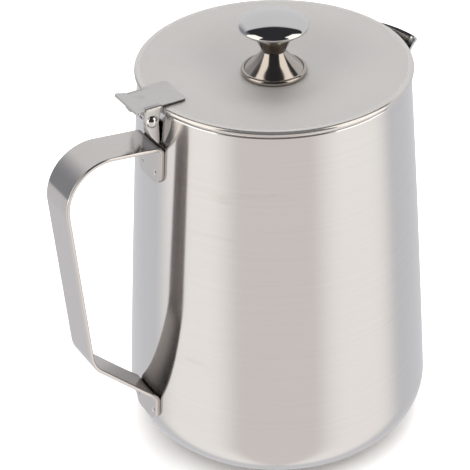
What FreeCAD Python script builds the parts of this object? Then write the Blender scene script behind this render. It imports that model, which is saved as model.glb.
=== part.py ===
import FreeCAD, Part
import math
import os

# Milk frothing pitcher with a hinged lid: a deep-drawn stainless steel jug of about two litres,
# with a pressed pouring lip, a bent strap handle, and a flat lid that swings on a pin over the
# handle. Millimetres, +Z up. The origin is the centre of the jug's underside. The handle and the
# hinge are on -X and the pouring lip is on +X, so the XZ plane is the plane of symmetry.

VECTOR = FreeCAD.Vector
AXIS_Y = VECTOR(0, 1, 0)
AXIS_Z = VECTOR(0, 0, 1)

# Jug body: a thin shell that narrows from the foot to the rim along a slightly bulging side.
JUG_HEIGHT = 179.1
RIM_RADIUS = 59.8
FOOT_RADIUS = 70.5          # where the side would meet the table without its rounded foot
SIDE_BULGE = 0.45           # how far the side stands out from a straight line, at half height
FOOT_ROUNDING = 21.0
WALL = 0.8

# Pouring lip: a V-shaped beak pressed out of the wall, whose edge dips towards its tip.
LIP_LENGTH = 38.0           # height of the beak on the wall
LIP_REACH = 77.0            # distance of the keel from the axis, at the height of the rim
LIP_START_DEPTH = 1.0       # how far inside the wall the keel starts
LIP_HALF_ANGLE = 43.0
LIP_TIP_RADIUS = 2.8
LIP_BLEND = 6.0             # rounding between the beak and the wall
LIP_DIP = 5.6               # drop of the edge from the rim to the tip
LIP_SEAM_SLACK = 0.05       # an edge this near the wall belongs to the seam with the beak

# Lid: a disc with a flat border, a shallow dish in the middle and a curled edge.
LID_GAP = 0.3               # clearance between the curl and the rim
LID_SHEET = 0.7
CURL_RADIUS = 1.45
LID_RADIUS = 60.95
DISH_RADIUS = 50.0
DISH_DEPTH = 4.5
DISH_UPPER_POLE = 37.0      # the side of the dish leaves the border level towards this radius
DISH_LOWER_POLE = 29.0      # and meets the floor level from this radius
DISH_FLOOR_RADIUS = 16.0

# Strap handle: a flat strip whose outline is given by the corners of its outer surface.
STRAP_WIDTH = 19.5
STRAP_THICKNESS = 1.8
TAB_CORNER_RADIUS = 5.0
TOP_TAB_LOW = 144.3
TOP_RUN_INNER = 163.2       # height of the top run's upper face at the wall
TOP_RUN_OUTER = 168.5       # and at the outer corner
GRIP_TOP_REACH = 110.1
GRIP_BOTTOM_REACH = 101.2
GRIP_BOTTOM = 61.8
LOW_TAB_TOP = 32.3
LOW_TAB_LOW = 19.8
BEND_AT_TOP_TAB = 3.5
BEND_AT_GRIP_TOP = 21.5
BEND_AT_GRIP_BOTTOM = 15.0
BEND_AT_LOW_TAB = 4.0
WELD_DENT_RADIUS = 1.0
WELD_DENT_DEPTH = 0.4
WELD_DENT_RISE = 5.5        # height of the two weld dents above the end of their tab
WELD_DENT_SPREAD = 6.5      # distance of each dent from the middle of the tab

# Hinge: the lid's plate has two ears outside the two cheeks of a bracket on the jug.
PIN_X = -65.3
PIN_Z = 177.2
PIN_RADIUS = 1.5
PIN_CLEARANCE = 0.05
PIN_HEAD_RADIUS = 2.8
PIN_HEAD_HEIGHT = 2.0
KNUCKLE_RADIUS = 3.3
EAR_OUTER = 9.3
PLATE_SHEET = 1.2
PLATE_INNER_X = -48.6
PLATE_OUTER_X = -73.0
PLATE_INNER_HALF_WIDTH = 9.4
PLATE_OUTER_HALF_WIDTH = 11.2
PLATE_CORNER_RADIUS = 2.0
HORN_START_X = -69.2        # where the thumb piece starts to widen
EAR_INNER_X = -60.4
EAR_OUTER_X = -68.4
BRACKET_GAP = 0.3           # clearance between a cheek and an ear
BRACKET_SHEET = 1.0
BRACKET_LOW = 164.1
BRACKET_WEB_TOP = 174.0
BRACKET_ROOT = 4.0          # the channel is drawn this far into the wall, then cut to fit it
CHEEK_SHOULDER = (-67.9, 174.5)
CHEEK_ELBOW = (-65.5, 168.9)

# Knob: a hollow foot and a mushroom cap, held by one screw from under the lid.
KNOB_FOOT_RADIUS = 14.6
KNOB_BEAD_HEIGHT = 2.5
KNOB_GROOVE_RADIUS = 13.1
KNOB_GROOVE_HEIGHT = 2.0
KNOB_WAIST_RADIUS = 5.3
KNOB_WAIST = 10.8           # height of the joint between foot and cap above the lid
KNOB_FLARE_POLES = ((10.9, 4.2), (7.0, 7.4))    # radius and height, from the groove to the waist
KNOB_HOLLOW_POLES = ((5.0, 6.4), (9.2, 2.5))   # the same under the shell, from waist to bead
KNOB_NECK_POLES = ((6.6, 13.3), (7.7, 14.3))
KNOB_BRIM_POLES = ((9.6, 17.6), (15.4, 19.6))
KNOB_DOME_POLES = ((15.4, 26.0), (8.5, 27.8))
KNOB_BRIDGE = 2.0           # thickness of metal across the top of the hollow foot
KNOB_NECK_RADIUS = 8.7
KNOB_NECK_TOP = 16.0
KNOB_CAP_RADIUS = 15.4
KNOB_CAP_EQUATOR = 23.2
KNOB_HEIGHT = 27.8
KNOB_SHELL = 1.0
SCREW_RADIUS = 2.0
SCREW_BORE_RADIUS = 2.05
SCREW_HOLE_RADIUS = 2.25
SCREW_GRIP = 8.0            # length of screw inside the cap
SCREW_RUNOUT = 1.0          # free depth of the cap's hole beyond the screw
SCREW_HEAD_RADIUS = 4.0
SCREW_HEAD_HEIGHT = 2.6
SCREW_SLOT_WIDTH = 1.1
SCREW_SLOT_DEPTH = 1.2
FLAT_WASHER = (4.5, 0.8)    # outer radius and thickness
LOCK_WASHER = (3.8, 0.9)
LOCK_WASHER_SPLIT = 0.7

TOUCH = 0.01                # two lengths that differ by less than this are the same

# Heights that follow from the sizes above.
CURL_Z = JUG_HEIGHT + LID_GAP + CURL_RADIUS
LID_TOP = CURL_Z + CURL_RADIUS
DISH_TOP = LID_TOP - DISH_DEPTH
DISH_UNDERSIDE = DISH_TOP - LID_SHEET
CAP_BASE = DISH_TOP + KNOB_WAIST
PLATE_TOP = LID_TOP + PLATE_SHEET
CHEEK_OUTER = EAR_OUTER - PLATE_SHEET - BRACKET_GAP


def wall_radius(z):
    """Outer radius of the jug's side at height z."""
    t = z / JUG_HEIGHT
    return FOOT_RADIUS + (RIM_RADIUS - FOOT_RADIUS) * t + 4 * SIDE_BULGE * t * (1 - t)


def xz(x, z):
    """Point in the plane of symmetry."""
    return VECTOR(x, 0, z)


def revolve(edges):
    """Solid of revolution about Z, turned so that its seam lies on -X, away from the lip."""
    solid = Part.Face(Part.Wire(edges)).revolve(VECTOR(0, 0, 0), AXIS_Z, 360)
    return solid.rotate(VECTOR(0, 0, 0), AXIS_Z, 180)


def polyline(points):
    """Straight edges through the points."""
    return [Part.makeLine(a, b) for a, b in zip(points, points[1:])]


def arc(start, middle, end):
    """Circular edge through three points."""
    return Part.Arc(start, middle, end).toShape()


def bezier(*poles):
    """Bezier edge with the given poles."""
    curve = Part.BezierCurve()
    curve.setPoles(list(poles))
    return curve.toShape()


def ring(inner_radius, outer_radius, z, height):
    """Flat ring that stands on height z."""
    outer = Part.makeCylinder(outer_radius, height, VECTOR(0, 0, z))
    return outer.cut(Part.makeCylinder(inner_radius, height, VECTOR(0, 0, z)))


# ---- jug body ----------------------------------------------------------------------------

def jug_form(inset):
    """Solid jug without the lip, with every surface moved inwards by inset."""
    foot = xz(FOOT_RADIUS - inset, inset)
    rim = xz(RIM_RADIUS - inset, JUG_HEIGHT)
    middle_z = (foot.z + rim.z) / 2
    middle = xz(wall_radius(middle_z) - inset, middle_z)
    side = arc(foot, middle, rim)
    outline = polyline([rim, xz(0, JUG_HEIGHT), xz(0, inset), foot]) + [side]
    solid = revolve(outline)
    foot_edges = [e for e in solid.Edges if abs(e.BoundBox.ZMax - inset) < TOUCH]
    return solid.makeFillet(FOOT_ROUNDING - inset, foot_edges)


def lip_form(inset):
    """Solid beak: a V-shaped section pushed along the slanting keel."""
    half_angle = math.radians(LIP_HALF_ANGLE)
    start_z = JUG_HEIGHT - LIP_LENGTH
    start_x = wall_radius(start_z) - LIP_START_DEPTH
    keel = VECTOR(LIP_REACH - start_x, 0, LIP_LENGTH)
    radius = LIP_TIP_RADIUS - inset
    centre = VECTOR(start_x - LIP_TIP_RADIUS, 0, start_z)
    touch = VECTOR(radius * math.sin(half_angle), radius * math.cos(half_angle), 0)
    depth = RIM_RADIUS / 2
    spread = depth * math.tan(half_angle)
    left = centre + touch
    right = centre + VECTOR(touch.x, -touch.y, 0)
    left_back = left + VECTOR(-depth, spread, 0)
    right_back = right + VECTOR(-depth, -spread, 0)
    tip = arc(left, centre + VECTOR(radius, 0, 0), right)
    outline = [tip] + polyline([right, right_back, left_back, left])
    return Part.Face(Part.Wire(outline)).extrude(keel)


def jug_with_lip(inset):
    """Solid jug with its lip blended into the wall."""
    solid = jug_form(inset).fuse(lip_form(inset)).removeSplitter()
    lowest = JUG_HEIGHT - LIP_LENGTH
    seam = []
    for edge in solid.Edges:
        box = edge.BoundBox
        beside_lip = box.ZMin > lowest and box.XMin > RIM_RADIUS / 2 and box.ZLength > TOUCH
        middle = edge.valueAt((edge.FirstParameter + edge.LastParameter) / 2)
        gap = math.hypot(middle.x, middle.y) - (wall_radius(middle.z) - inset)
        if beside_lip and abs(gap) < LIP_SEAM_SLACK:
            seam.append(edge)
    return solid.makeFillet(LIP_BLEND + inset, seam)


def lip_trimmer():
    """Wedge over the lip: removing it lets the lip's edge dip from the rim to the tip."""
    start = xz(RIM_RADIUS - WALL, JUG_HEIGHT)
    end = xz(LIP_REACH, JUG_HEIGHT - LIP_DIP * (LIP_REACH - start.x) / (LIP_REACH - RIM_RADIUS))
    outline = polyline([start, end, xz(LIP_REACH, JUG_HEIGHT), start])
    wedge = Part.Face(Part.Wire(outline)).extrude(VECTOR(0, 2 * RIM_RADIUS, 0))
    return wedge.translated(VECTOR(0, -RIM_RADIUS, 0))


def jug_body():
    return jug_with_lip(0).cut(jug_with_lip(WALL)).cut(lip_trimmer())


# ---- strap handle ------------------------------------------------------------------------

def strap_corners(offset):
    """Corners of the strap's outer surface, or of a line at offset inside it."""
    corners = [
        xz(-wall_radius(TOP_TAB_LOW), TOP_TAB_LOW),
        xz(-wall_radius(TOP_RUN_INNER), TOP_RUN_INNER),
        xz(-GRIP_TOP_REACH, TOP_RUN_OUTER),
        xz(-GRIP_BOTTOM_REACH, GRIP_BOTTOM),
        xz(-wall_radius(LOW_TAB_TOP) - STRAP_THICKNESS, LOW_TAB_TOP),
        xz(-wall_radius(LOW_TAB_LOW) - STRAP_THICKNESS, LOW_TAB_LOW),
    ]
    normals = []
    for a, b in zip(corners, corners[1:]):
        along = (b - a).normalize()
        normals.append(VECTOR(-along.z, 0, along.x))
    moved = [corners[0] + normals[0] * offset]
    for corner, before, after in zip(corners[1:], normals, normals[1:]):
        moved.append(corner + (before + after) * (offset / (1 + before.dot(after))))
    moved.append(corners[-1] + normals[-1] * offset)
    return moved


def rounded_path(corners, radii):
    """Straight runs joined by tangent arcs of the given radii."""
    edges = []
    start = corners[0]
    for before, corner, after, radius in zip(corners, corners[1:], corners[2:], radii):
        towards = (before - corner).normalize()
        away = (after - corner).normalize()
        half = towards.getAngle(away) / 2
        first = corner + towards * (radius / math.tan(half))
        last = corner + away * (radius / math.tan(half))
        bisector = (towards + away).normalize()
        middle = corner + bisector * (radius / math.sin(half) - radius)
        edges.append(Part.makeLine(start, first))
        edges.append(arc(first, middle, last))
        start = last
    edges.append(Part.makeLine(start, corners[-1]))
    return edges


def weld_dent(end, along, side):
    """Small ball that presses the mark of a spot weld into one side of a tab."""
    sunk = WELD_DENT_RADIUS - WELD_DENT_DEPTH
    outwards = VECTOR(-along.z, 0, along.x)
    if outwards.x > 0:
        outwards = outwards * -1
    centre = end + along * WELD_DENT_RISE + outwards * sunk + VECTOR(0, side * WELD_DENT_SPREAD, 0)
    return Part.makeSphere(WELD_DENT_RADIUS, centre)


def handle_strap():
    outer_radii = [BEND_AT_TOP_TAB, BEND_AT_GRIP_TOP, BEND_AT_GRIP_BOTTOM, BEND_AT_LOW_TAB]
    turns_inwards = [1, 1, 1, -1]
    inner_radii = [r - STRAP_THICKNESS * side for r, side in zip(outer_radii, turns_inwards)]
    outer = strap_corners(0)
    inner = strap_corners(STRAP_THICKNESS)
    edges = rounded_path(outer, outer_radii) + rounded_path(inner, inner_radii)
    edges.append(Part.makeLine(outer[0], inner[0]))
    edges.append(Part.makeLine(outer[-1], inner[-1]))
    wire = Part.Wire(Part.sortEdges(edges)[0])
    strap = Part.Face(wire).extrude(VECTOR(0, STRAP_WIDTH, 0))
    strap.translate(VECTOR(0, -STRAP_WIDTH / 2, 0))
    ends = (TOP_TAB_LOW, LOW_TAB_LOW)
    corner_edges = []
    for edge in strap.Edges:
        across = edge.BoundBox.YLength < TOUCH and abs(edge.Length - STRAP_THICKNESS) < TOUCH
        at_end = any(abs(edge.CenterOfMass.z - z) < STRAP_THICKNESS for z in ends)
        if across and at_end:
            corner_edges.append(edge)
    strap = strap.makeFillet(TAB_CORNER_RADIUS, corner_edges)
    top_along = (outer[1] - outer[0]).normalize()
    low_along = (outer[-2] - outer[-1]).normalize()
    for side in (-1, 1):
        strap = strap.cut(weld_dent(inner[0], top_along, side))
        strap = strap.cut(weld_dent(outer[-1], low_along, side))
    return strap


# ---- hinge -------------------------------------------------------------------------------

def pin_cylinder(radius, start_y, length):
    """Cylinder on the hinge axis."""
    return Part.makeCylinder(radius, length, VECTOR(PIN_X, start_y, PIN_Z), AXIS_Y)


def hinge_bracket(jug_solid):
    """Channel on the wall: a web welded to the jug and a cheek on each side."""
    wall_x = -wall_radius(BRACKET_LOW)
    inside_x = wall_x + BRACKET_ROOT
    outline = polyline([
        xz(inside_x, BRACKET_LOW),
        xz(wall_x - BRACKET_SHEET, BRACKET_LOW),
        xz(*CHEEK_ELBOW),
        xz(*CHEEK_SHOULDER),
        xz(PIN_X - KNUCKLE_RADIUS, PIN_Z),
    ])
    outline.append(arc(
        xz(PIN_X - KNUCKLE_RADIUS, PIN_Z),
        xz(PIN_X, PIN_Z + KNUCKLE_RADIUS),
        xz(PIN_X + KNUCKLE_RADIUS, PIN_Z),
    ))
    outline += polyline([
        xz(PIN_X + KNUCKLE_RADIUS, PIN_Z),
        xz(PIN_X + KNUCKLE_RADIUS, BRACKET_WEB_TOP),
        xz(inside_x, BRACKET_WEB_TOP),
        xz(inside_x, BRACKET_LOW),
    ])
    plate = Part.Face(Part.Wire(outline)).extrude(VECTOR(0, 2 * CHEEK_OUTER, 0))
    plate.translate(VECTOR(0, -CHEEK_OUTER, 0))
    slot_half = CHEEK_OUTER - BRACKET_SHEET
    web_x = wall_x - BRACKET_SHEET
    reach = 2 * CHEEK_OUTER
    slot = Part.makeBox(reach, 2 * slot_half, reach, VECTOR(web_x - reach, -slot_half, BRACKET_LOW))
    over_web = VECTOR(web_x - reach, -slot_half, BRACKET_WEB_TOP)
    slot_top = Part.makeBox(2 * reach, 2 * slot_half, reach, over_web)
    bore = pin_cylinder(PIN_RADIUS + PIN_CLEARANCE, -EAR_OUTER, 2 * EAR_OUTER)
    return plate.cut(slot).cut(slot_top).cut(bore).cut(jug_solid)


def hinge_pin():
    """Rivet with a domed head formed on each end."""
    pin = pin_cylinder(PIN_RADIUS, -EAR_OUTER, 2 * EAR_OUTER)
    ball = (PIN_HEAD_RADIUS ** 2 + PIN_HEAD_HEIGHT ** 2) / (2 * PIN_HEAD_HEIGHT)
    for side in (-1, 1):
        centre = VECTOR(PIN_X, side * (EAR_OUTER + PIN_HEAD_HEIGHT - ball), PIN_Z)
        start = EAR_OUTER if side > 0 else -EAR_OUTER - PIN_HEAD_HEIGHT
        slab = pin_cylinder(2 * PIN_HEAD_RADIUS, start, PIN_HEAD_HEIGHT)
        pin = pin.fuse(Part.makeSphere(ball, centre).common(slab))
    return pin.removeSplitter()


def ear(side):
    """One ear of the lid's plate, folded down beside the bracket."""
    outline = polyline([
        xz(PIN_X + KNUCKLE_RADIUS, PIN_Z),
        xz(EAR_INNER_X, PLATE_TOP),
        xz(EAR_OUTER_X, PLATE_TOP),
        xz(PIN_X - KNUCKLE_RADIUS, PIN_Z),
    ])
    outline.append(arc(
        xz(PIN_X - KNUCKLE_RADIUS, PIN_Z),
        xz(PIN_X, PIN_Z - KNUCKLE_RADIUS),
        xz(PIN_X + KNUCKLE_RADIUS, PIN_Z),
    ))
    shape = Part.Face(Part.Wire(outline)).extrude(VECTOR(0, PLATE_SHEET, 0))
    start = EAR_OUTER - PLATE_SHEET if side > 0 else -EAR_OUTER
    return shape.translated(VECTOR(0, start, 0))


def thumb_plate():
    """Plate welded on the lid: a thumb piece outside, and two ears that the pin goes through."""
    half = []
    for x, y in (
        (PLATE_INNER_X, PLATE_INNER_HALF_WIDTH),
        (HORN_START_X, EAR_OUTER),
        (PLATE_OUTER_X, PLATE_OUTER_HALF_WIDTH),
    ):
        half.append(VECTOR(x, y, LID_TOP))
    mirrored = [VECTOR(p.x, -p.y, p.z) for p in reversed(half)]
    outline = half + mirrored + half[:1]
    plate = Part.Face(Part.makePolygon(outline)).extrude(VECTOR(0, 0, PLATE_SHEET))
    corners = []
    for edge in plate.Edges:
        upright = abs(edge.BoundBox.ZLength - PLATE_SHEET) < TOUCH
        if upright and abs(edge.CenterOfMass.x - HORN_START_X) > TOUCH:
            corners.append(edge)
    plate = plate.makeFillet(PLATE_CORNER_RADIUS, corners)
    plate = plate.multiFuse([ear(-1), ear(1)]).removeSplitter()
    return plate.cut(pin_cylinder(PIN_RADIUS, -EAR_OUTER, 2 * EAR_OUTER))


# ---- lid ---------------------------------------------------------------------------------

def dish_side(z):
    """Poles of the smooth line from the flat border at height z down to the floor of the dish."""
    return [
        xz(DISH_RADIUS, z),
        xz(DISH_UPPER_POLE, z),
        xz(DISH_LOWER_POLE, z - DISH_DEPTH),
        xz(DISH_FLOOR_RADIUS, z - DISH_DEPTH),
    ]


def lid_disc():
    """Pressed disc whose edge is curled under through three quarters of a turn."""
    curl_x = LID_RADIUS - CURL_RADIUS
    inner = CURL_RADIUS - LID_SHEET
    diagonal = math.sqrt(0.5)
    underside = LID_TOP - LID_SHEET
    outline = [
        Part.makeLine(xz(0, DISH_TOP), xz(DISH_FLOOR_RADIUS, DISH_TOP)),
        bezier(*reversed(dish_side(LID_TOP))),
        Part.makeLine(xz(DISH_RADIUS, LID_TOP), xz(curl_x, LID_TOP)),
        arc(
            xz(curl_x, LID_TOP),
            xz(curl_x + CURL_RADIUS * diagonal, CURL_Z - CURL_RADIUS * diagonal),
            xz(curl_x - CURL_RADIUS, CURL_Z),
        ),
        Part.makeLine(xz(curl_x - CURL_RADIUS, CURL_Z), xz(curl_x - inner, CURL_Z)),
        arc(
            xz(curl_x - inner, CURL_Z),
            xz(curl_x + inner * diagonal, CURL_Z - inner * diagonal),
            xz(curl_x, CURL_Z + inner),
        ),
        Part.makeLine(xz(curl_x, underside), xz(DISH_RADIUS, underside)),
        bezier(*dish_side(underside)),
        Part.makeLine(xz(DISH_FLOOR_RADIUS, DISH_UNDERSIDE), xz(0, DISH_UNDERSIDE)),
        Part.makeLine(xz(0, DISH_UNDERSIDE), xz(0, DISH_TOP)),
    ]
    hole = Part.makeCylinder(SCREW_HOLE_RADIUS, 4 * LID_SHEET, VECTOR(0, 0, DISH_UNDERSIDE - LID_SHEET))
    return revolve(outline).cut(hole)


# ---- knob --------------------------------------------------------------------------------

def on_knob(radius, height):
    """Point of the knob's outline at a height above the floor of the dish."""
    return xz(radius, DISH_TOP + height)


def knob_foot():
    """Hollow foot: a rounded bead on the lid, then a concave cone up to the waist."""
    bead = KNOB_BEAD_HEIGHT
    bead_x = KNOB_FOOT_RADIUS - bead / 2
    hollow_x = bead_x - KNOB_SHELL
    bridge_z = KNOB_WAIST - KNOB_BRIDGE
    outline = [
        Part.makeLine(on_knob(hollow_x, 0), on_knob(bead_x, 0)),
        arc(on_knob(bead_x, 0), on_knob(KNOB_FOOT_RADIUS, bead / 2), on_knob(bead_x, bead)),
        Part.makeLine(on_knob(bead_x, bead), on_knob(KNOB_GROOVE_RADIUS, KNOB_GROOVE_HEIGHT)),
        bezier(
            on_knob(KNOB_GROOVE_RADIUS, KNOB_GROOVE_HEIGHT),
            *[on_knob(*pole) for pole in KNOB_FLARE_POLES],
            on_knob(KNOB_WAIST_RADIUS, KNOB_WAIST),
        ),
    ]
    outline += polyline([
        on_knob(KNOB_WAIST_RADIUS, KNOB_WAIST),
        on_knob(SCREW_HOLE_RADIUS, KNOB_WAIST),
        on_knob(SCREW_HOLE_RADIUS, bridge_z),
        on_knob(KNOB_WAIST_RADIUS - KNOB_SHELL, bridge_z),
    ])
    outline.append(bezier(
        on_knob(KNOB_WAIST_RADIUS - KNOB_SHELL, bridge_z),
        *[on_knob(*pole) for pole in KNOB_HOLLOW_POLES],
        on_knob(hollow_x, 0),
    ))
    return revolve(outline)


def knob_cap():
    """Mushroom cap on a flaring neck, with a threaded blind hole in its base."""
    waist = on_knob(KNOB_WAIST_RADIUS, KNOB_WAIST)
    neck = on_knob(KNOB_NECK_RADIUS, KNOB_NECK_TOP)
    equator = on_knob(KNOB_CAP_RADIUS, KNOB_CAP_EQUATOR)
    top = on_knob(0, KNOB_HEIGHT)
    base = on_knob(0, KNOB_WAIST)
    outline = [
        Part.makeLine(base, waist),
        bezier(waist, *[on_knob(*pole) for pole in KNOB_NECK_POLES], neck),
        bezier(neck, *[on_knob(*pole) for pole in KNOB_BRIM_POLES], equator),
        bezier(equator, *[on_knob(*pole) for pole in KNOB_DOME_POLES], top),
        Part.makeLine(top, base),
    ]
    bore = Part.makeCylinder(SCREW_BORE_RADIUS, SCREW_GRIP + SCREW_RUNOUT, base)
    return revolve(outline).cut(bore)


def knob_flat_washer():
    radius, thickness = FLAT_WASHER
    return ring(SCREW_HOLE_RADIUS, radius, DISH_UNDERSIDE - thickness, thickness)


def knob_lock_washer():
    """Split spring washer, pressed flat."""
    radius, thickness = LOCK_WASHER
    z = DISH_UNDERSIDE - FLAT_WASHER[1] - thickness
    washer = ring(SCREW_HOLE_RADIUS, radius, z, thickness)
    split = Part.makeBox(radius, LOCK_WASHER_SPLIT, thickness, VECTOR(0, -LOCK_WASHER_SPLIT / 2, z))
    return washer.cut(split)


def knob_screw():
    """Slotted pan-head machine screw."""
    head_top = DISH_UNDERSIDE - FLAT_WASHER[1] - LOCK_WASHER[1]
    head_low = head_top - SCREW_HEAD_HEIGHT
    shank = Part.makeCylinder(SCREW_RADIUS, CAP_BASE + SCREW_GRIP - head_top, VECTOR(0, 0, head_top))
    head = Part.makeCylinder(SCREW_HEAD_RADIUS, SCREW_HEAD_HEIGHT, VECTOR(0, 0, head_low))
    rounding = SCREW_HEAD_HEIGHT / 2
    low_edges = [e for e in head.Edges if abs(e.BoundBox.ZMax - head_low) < TOUCH]
    head = head.makeFillet(rounding, low_edges)
    slot_size = (2 * SCREW_HEAD_RADIUS, SCREW_SLOT_WIDTH, SCREW_SLOT_DEPTH)
    slot = Part.makeBox(*slot_size, VECTOR(-SCREW_HEAD_RADIUS, -SCREW_SLOT_WIDTH / 2, head_low))
    return head.fuse(shank).cut(slot).removeSplitter()


def main():
    os.makedirs("parts", exist_ok=True)
    parts = {
        "jug_body": jug_body(),
        "handle_strap": handle_strap(),
        "hinge_bracket": hinge_bracket(jug_form(0)),
        "hinge_pin": hinge_pin(),
        "thumb_plate": thumb_plate(),
        "lid_disc": lid_disc(),
        "knob_foot": knob_foot(),
        "knob_cap": knob_cap(),
        "knob_flat_washer": knob_flat_washer(),
        "knob_lock_washer": knob_lock_washer(),
        "knob_screw": knob_screw(),
    }
    for name, shape in parts.items():
        print(name, "solids", len(shape.Solids), "valid", shape.isValid(), "volume", round(shape.Volume))
        shape.exportStep(os.path.join("parts", name + ".step"))


main()
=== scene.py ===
import math
import bmesh
import bpy
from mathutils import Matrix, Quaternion, Vector


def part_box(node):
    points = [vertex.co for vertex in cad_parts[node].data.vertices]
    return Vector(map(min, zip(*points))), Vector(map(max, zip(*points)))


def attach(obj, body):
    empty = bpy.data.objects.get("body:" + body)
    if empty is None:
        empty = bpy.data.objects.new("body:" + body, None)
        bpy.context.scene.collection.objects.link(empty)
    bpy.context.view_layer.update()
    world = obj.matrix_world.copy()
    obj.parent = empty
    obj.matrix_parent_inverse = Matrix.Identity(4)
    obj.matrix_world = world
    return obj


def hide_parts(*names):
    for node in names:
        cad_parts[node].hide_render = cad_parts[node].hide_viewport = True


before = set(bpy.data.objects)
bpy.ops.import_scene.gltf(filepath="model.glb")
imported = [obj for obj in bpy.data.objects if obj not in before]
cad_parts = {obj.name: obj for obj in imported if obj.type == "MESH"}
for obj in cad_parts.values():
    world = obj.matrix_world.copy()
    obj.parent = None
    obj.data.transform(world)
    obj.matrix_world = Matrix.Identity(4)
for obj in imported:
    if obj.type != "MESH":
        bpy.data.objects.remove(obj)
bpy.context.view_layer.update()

MM = 0.001                  # one millimetre in metres
MERGE_DISTANCE = 1e-7       # metres between two points that are one

# ---- sizes in millimetres -----------------------------------------------------------------
#
# They are the CAD model's, except that the lip, the knob's outline, the weld dents, the folds
# of the plate and the far cheek of the bracket are shaped a little more closely here.

# Jug body: a thin shell that narrows from the foot to the rim along a slightly bulging side.
JUG_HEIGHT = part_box("jug_body")[1].z / MM
RIM_RADIUS = 59.8
FOOT_RADIUS = 70.5
SIDE_BULGE = 0.45
FOOT_ROUNDING = 21.0
WALL = 0.8
BASE_RINGS = (0.5, 10.0, 25.0, 38.0, 42.0)
RIM_ROUNDING = ((0.15, 0.28), (0.5, 0.4), (0.85, 0.28))     # inwards and upwards, as shares of the wall

# Pouring lip: a V-shaped beak pressed out of the wall, whose edge dips towards its tip.
LIP_LENGTH = 38.0
LIP_REACH = 76.95
LIP_START_DEPTH = 2.0
LIP_HALF_ANGLE = math.radians(45.0)
LIP_TIP_ROUNDING = math.radians(2.6)
LIP_TIP_SHARE = 0.35
LIP_BLEND_LOW = 0.5
LIP_BLEND = 4.0
LIP_CURVE = 1.35
LIP_DIP = 5.6
LIP_DIP_CURVE = 1.8

# Lid: a disc with a flat border, a shallow dish in the middle and a curled edge.
LID_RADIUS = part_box("lid_disc")[1].x / MM
LID_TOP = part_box("lid_disc")[1].z / MM
LID_SHEET = 0.7
CURL_RADIUS = 1.45
CURL_Z = LID_TOP - CURL_RADIUS
DISH_RADIUS = 50.0
DISH_UPPER_POLE = 37.0
DISH_LOWER_POLE = 29.0
DISH_FLOOR_RADIUS = 16.0
DISH_DEPTH = 4.5
DISH_TOP = LID_TOP - DISH_DEPTH
SCREW_HOLE_RADIUS = 2.25
POLISHED_FROM = 58.6

# Knob: a hollow foot and a mushroom cap; heights count from the floor of the dish.
KNOB_FOOT_RADIUS = 14.6
KNOB_BEAD_HEIGHT = 2.5
KNOB_FOOT_LEDGE = 1.0
KNOB_GROOVE_RADIUS = 13.1
KNOB_GROOVE_HEIGHT = 2.0
KNOB_BEAD_EASE = (0.3, 0.25)        # how the curve leaves the bead level and meets the groove upright
KNOB_FLARE_POLES = ((10.9, 4.2), (7.0, 7.4))
KNOB_HOLLOW_POLES = ((5.0, 6.4), (9.2, 2.5))
KNOB_HOLLOW_TOP = (4.3, 8.8)
KNOB_WAIST_RADIUS = 5.3
KNOB_WAIST = 10.8
KNOB_WAIST_EDGE = 0.3
KNOB_BASE_RING = 2.05
KNOB_NECK_POLES = ((6.2, 12.6), (7.1, 15.2))
KNOB_NECK = (9.0, 17.9)
KNOB_BRIM_POLES = ((10.6, 20.1), (15.4, 20.9))
KNOB_EQUATOR = (15.4, 22.6)
KNOB_DOME_POLES = ((15.4, 25.1), (7.4, 27.8))
KNOB_CROWN = (0.02, 27.8)
TURNED_TOP = 18.0
KNOB_SEGMENTS = 128

# Strap handle: a flat strip whose outline is given by the corners of its outer surface.
STRAP_WIDTH = 19.5
STRAP_THICKNESS = 1.8
STRAP_EDGE = 0.55
STRAP_SPACING = 1.0
TAB_CORNER_RADIUS = 5.0
TAB_HUG = 7.0
TOP_TAB_LOW = 144.3
TOP_RUN_INNER = 163.2
TOP_RUN_OUTER = 168.5
GRIP_TOP_REACH = 110.1
GRIP_BOTTOM_REACH = 101.2
GRIP_BOTTOM = 61.8
LOW_TAB_TOP = 32.3
LOW_TAB_LOW = 19.8
BEND_AT_TOP_TAB = 3.5
BEND_AT_GRIP_TOP = 21.5
BEND_AT_GRIP_BOTTOM = 15.0
BEND_AT_LOW_TAB = 4.0
WELD_PLACES = ((149.8, 5.7), (25.3, 7.2))       # height, and distance from the middle of the tab
WELD_RADIUS = 1.0
WELD_DEPTH = 0.6

# Hinge: the lid's plate has two ears outside the two cheeks of a bracket on the jug.
PIN_X = -65.3
PIN_Z = 177.2
PIN_RADIUS = 1.5
PIN_HEAD_RADIUS = 2.8
PIN_HEAD_HEIGHT = 2.0
KNUCKLE_RADIUS = 3.3
EAR_OUTER = 9.3
PLATE_SHEET = 1.2
PLATE_EDGE = 0.3
PLATE_FOLD = 1.4
PLATE_FLAT = 1.0
PLATE_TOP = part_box("thumb_plate")[1].z / MM
PLATE_CORNER_RADIUS = 2.0
BRACKET_SHEET = 1.0
BRACKET_EDGE = 0.25
BRACKET_FOLD = 1.2
BRACKET_LOW = 164.1
BRACKET_WEB_TOP = 174.0
CHEEK_OUTER = 7.8
CHEEK_LEAST = 0.4
FAR_CHEEK_LOW = 168.6

# Places on the plate and the bracket, as distances from the jug's axis towards the handle.
PIN_REACH = -PIN_X
PLATE_INNER = 48.6
PLATE_NARROW = 57.0
PLATE_HORN = 68.9
PLATE_OUTER = 73.0
PLATE_INNER_HALF_WIDTH = 9.4
PLATE_HALF_WIDTH = 9.3
PLATE_HORN_HALF_WIDTH = 11.2
EAR_INNER_REACH = 60.4
EAR_OUTER_REACH = 68.4
CHEEK_ELBOW = (65.5, 168.9)
CHEEK_SHOULDER = (67.9, 174.5)


# ---- mesh helpers -------------------------------------------------------------------------

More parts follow.
